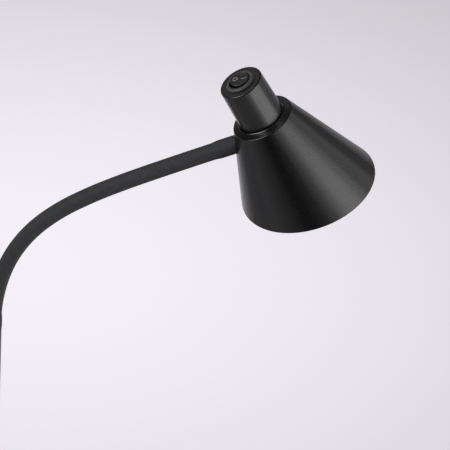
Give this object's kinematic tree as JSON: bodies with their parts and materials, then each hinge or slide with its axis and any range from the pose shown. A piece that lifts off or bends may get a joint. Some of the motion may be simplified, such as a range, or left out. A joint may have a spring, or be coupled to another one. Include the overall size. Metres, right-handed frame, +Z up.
{
  "type": "floor lamp",
  "caption": "Floor lamp with a round weighted base, slim pole, bendable gooseneck and a cone shade with a rocker switch on top of its lamp cup.",
  "frame": {"origin": "on the floor under the pole's axis, at the middle of the base's pad", "axes": "+Z up along the pole, +X from the pole towards the head, Y across the lamp"},
  "size_m": [0.4111, 0.23, 1.395],
  "materials": {
    "black_coat": "satin black powder coat",
    "neck_sleeve": "matt black sleeve over a steel hose",
    "steel": "zinc plated",
    "cast_weight": "rough cast",
    "foam_pad": "closed-cell foam",
    "black_rubber": "matt",
    "holder_ceramic": "unglazed ceramic",
    "bulb_white": "satin white",
    "bulb_lens": "frosted",
    "switch_black": "fine satin black",
    "terminal_brass": "plated",
    "wire_insulation": "brown insulation"
  },
  "bodies": {
    "stand": {"base_pad": "foam_pad", "base_weight": "cast_weight", "base_cover": "black_coat", "cable_grommet": "black_rubber", "foot_stud": "steel", "foot_washer": "steel", "foot_nut": "steel", "base_collar": "black_coat", "pole_lower": "black_coat", "pole_middle": "black_coat", "pole_upper": "black_coat", "pole_coupler_lower": "steel", "pole_coupler_upper": "steel", "neck_socket": "steel", "lower_ferrule": "black_coat", "neck_link_1": "neck_sleeve"},
    "neck_2": {"neck_link_2": "neck_sleeve"},
    "neck_3": {"neck_link_3": "neck_sleeve"},
    "neck_4": {"neck_link_4": "neck_sleeve"},
    "neck_5": {"neck_link_5": "neck_sleeve"},
    "neck_6": {"neck_link_6": "neck_sleeve"},
    "neck_7": {"neck_link_7": "neck_sleeve"},
    "neck_8": {"neck_link_8": "neck_sleeve"},
    "head": {"neck_link_9": "neck_sleeve", "upper_ferrule": "black_coat", "saddle_washer": "black_rubber", "inner_saddle": "steel", "arm_nut": "steel", "holder_bracket": "steel", "shade": "black_coat", "lamp_cup": "black_coat", "cup_screw": "steel", "lamp_holder": "holder_ceramic", "holder_screws": "steel", "bulb_body": "bulb_white", "bulb_lens": "bulb_lens", "switch_housing": "switch_black", "switch_terminals": "terminal_brass", "head_wires": "wire_insulation"},
    "rocker": {"rocker": "switch_black"}
  },
  "joints": [
    {"name": "neck_bend_1", "type": "hinge", "parent": "stand", "child": "neck_2", "pos_m": [0.00222, 0, 1.1416], "axis": [0, 1, 0], "range_deg": [-20, 20]},
    {"name": "neck_sway_2", "type": "hinge", "parent": "neck_2", "child": "neck_3", "pos_m": [0.00909, 0, 1.17261], "axis": [-0.9563, 0, 0.2924], "range_deg": [-20, 20]},
    {"name": "neck_bend_3", "type": "hinge", "parent": "neck_3", "child": "neck_4", "pos_m": [0.0215, 0, 1.20183], "axis": [0, 1, 0], "range_deg": [-20, 20]},
    {"name": "neck_sway_4", "type": "hinge", "parent": "neck_4", "child": "neck_5", "pos_m": [0.03992, 0, 1.22766], "axis": [-0.7431, 0, 0.6691], "range_deg": [-20, 20]},
    {"name": "neck_bend_5", "type": "hinge", "parent": "neck_5", "child": "neck_6", "pos_m": [0.06315, 0, 1.24932], "axis": [0, 1, 0], "range_deg": [-20, 20]},
    {"name": "neck_sway_6", "type": "hinge", "parent": "neck_6", "child": "neck_7", "pos_m": [0.08903, 0, 1.26778], "axis": [-0.5446, 0, 0.8387], "range_deg": [-20, 20]},
    {"name": "neck_bend_7", "type": "hinge", "parent": "neck_7", "child": "neck_8", "pos_m": [0.11607, 0, 1.28452], "axis": [0, 1, 0], "range_deg": [-20, 20]},
    {"name": "neck_sway_8", "type": "hinge", "parent": "neck_8", "child": "head", "pos_m": [0.14354, 0, 1.30054], "axis": [-0.5, 0, 0.866], "range_deg": [-20, 20]},
    {"name": "rocker_press", "type": "hinge", "parent": "head", "child": "rocker", "pos_m": [0.18507, 0, 1.38497], "axis": [-0.1061, -0.9925, -0.06], "range_deg": [0, 16]}
  ]
}
